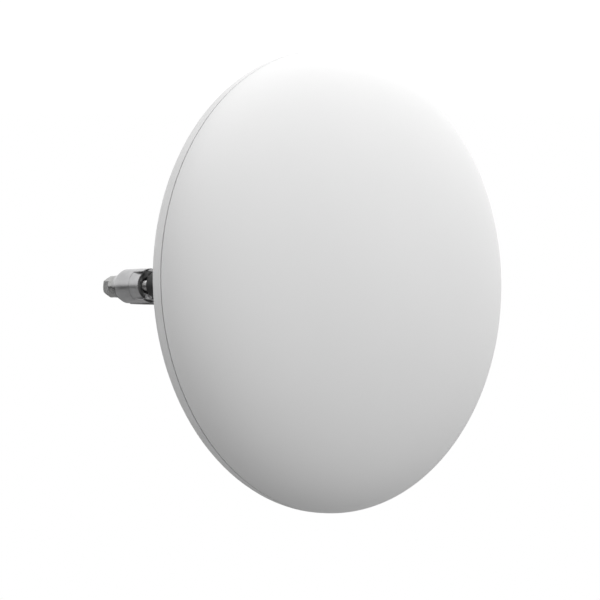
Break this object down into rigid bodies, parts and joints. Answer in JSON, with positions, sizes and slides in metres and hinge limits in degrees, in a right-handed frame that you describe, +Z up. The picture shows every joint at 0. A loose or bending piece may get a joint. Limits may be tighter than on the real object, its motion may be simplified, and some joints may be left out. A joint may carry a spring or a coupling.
{
  "type": "microwave dish antenna",
  "caption": "Pole-mounted round dish antenna with a domed radome, radio box, tilt bracket with fine adjuster and two-jaw pole clamp.",
  "frame": {"origin": "on the pole's axis at the mid-height of the clamp", "axes": "+Z up along the pole, the dish faces -Y, +X to the right seen from behind the dish"},
  "size_m": [0.4, 0.3129, 0.4],
  "materials": {
    "radome_white": "satin",
    "rim_white": "satin",
    "seal_rubber": "matte",
    "zinc_steel": "zinc plated",
    "stainless": "satin",
    "spun_aluminium": "satin",
    "black_cast": "black, satin",
    "dish_paint": "powder coated",
    "cast_aluminium": "as cast, satin",
    "box_paint": "powder coated",
    "feed_plastic": "matte",
    "board_green": "solder mask",
    "thermal_pad": "matte",
    "black_plastic": "matte",
    "grey_plastic": "matte",
    "door_plastic": "fine grain",
    "lens_clear": "clear",
    "brass": "plain"
  },
  "bodies": {
    "head": {"radome": "radome_white", "radome_gasket": "seal_rubber", "rim_ring": "rim_white", "radome_screws": "stainless", "reflector": "dish_paint", "feed_tube": "spun_aluminium", "feed_cone": "feed_plastic", "subreflector": "spun_aluminium", "feed_screws": "stainless", "hub_plate": "spun_aluminium", "reflector_screws": "stainless", "radio_housing": "box_paint", "port_tub": "black_plastic", "board_standoffs": "brass", "housing_gasket": "seal_rubber", "radio_cover": "box_paint", "cover_screws": "stainless", "main_board": "board_green", "board_screws": "stainless", "rf_shield": "stainless", "heat_pad": "thermal_pad", "ethernet_jack": "black_plastic", "status_lens": "lens_clear", "breather_vent": "black_plastic", "ground_stud": "brass", "ground_washer": "brass", "ground_nut": "brass", "door_pin": "stainless", "tilt_yoke": "cast_aluminium", "yoke_bolts": "zinc_steel", "tilt_arm": "zinc_steel", "arm_screws": "zinc_steel"},
    "port_door": {"port_door": "door_plastic", "door_seal": "seal_rubber", "cable_grommet": "seal_rubber"},
    "reset_button": {"reset_button": "grey_plastic"},
    "clamp": {"front_jaw": "black_cast", "pivot_bolt": "zinc_steel", "pivot_nut": "zinc_steel", "pivot_washers": "zinc_steel", "lock_bolts": "zinc_steel", "lock_nuts": "zinc_steel", "lock_washers": "zinc_steel", "clamp_nuts": "zinc_steel", "adjuster_bracket": "zinc_steel"},
    "rear_jaw": {"rear_jaw": "cast_aluminium", "clamp_bolts": "zinc_steel", "clamp_washers": "zinc_steel"},
    "travelling_nut": {"travelling_nut": "zinc_steel", "trunnion_clip": "stainless"},
    "adjust_screw": {"adjust_screw": "zinc_steel", "adjust_locknut": "zinc_steel"}
  },
  "joints": [
    {"name": "tilt", "type": "hinge", "parent": "clamp", "child": "head", "pos_m": [0, -0.064, 0], "axis": [-1, 0, 0], "range_deg": [-15, 15]},
    {"name": "jaw_slide", "type": "slide", "parent": "clamp", "child": "rear_jaw", "axis": [0, 1, 0], "range_m": [-0.01, 0.011]},
    {"name": "adjust_nut_slide", "type": "slide", "parent": "clamp", "child": "travelling_nut", "axis": [0, 0, 1], "range_m": [-0.012, 0.012]},
    {"name": "adjust_screw_spin", "type": "hinge", "parent": "clamp", "child": "adjust_screw", "pos_m": [0.0675, -0.02, 0], "axis": [0, 0, 1], "range_deg": [-3420, 3420]},
    {"name": "port_door_hinge", "type": "hinge", "parent": "head", "child": "port_door", "pos_m": [0, -0.096, -0.0783], "axis": [1, 0, 0], "range_deg": [0, 110]},
    {"name": "reset_button_press", "type": "slide", "parent": "head", "child": "reset_button", "axis": [0, 0, 1], "range_m": [0, 0.0008], "stiffness_N_per_m": 500, "springref_m": -0.0005}
  ],
  "couplings": [
    {"joint": "adjust_nut_slide", "follows": "tilt", "m_per_rad": -0.045034},
    {"joint": "adjust_screw_spin", "follows": "tilt", "ratio": 226.36}
  ]
}
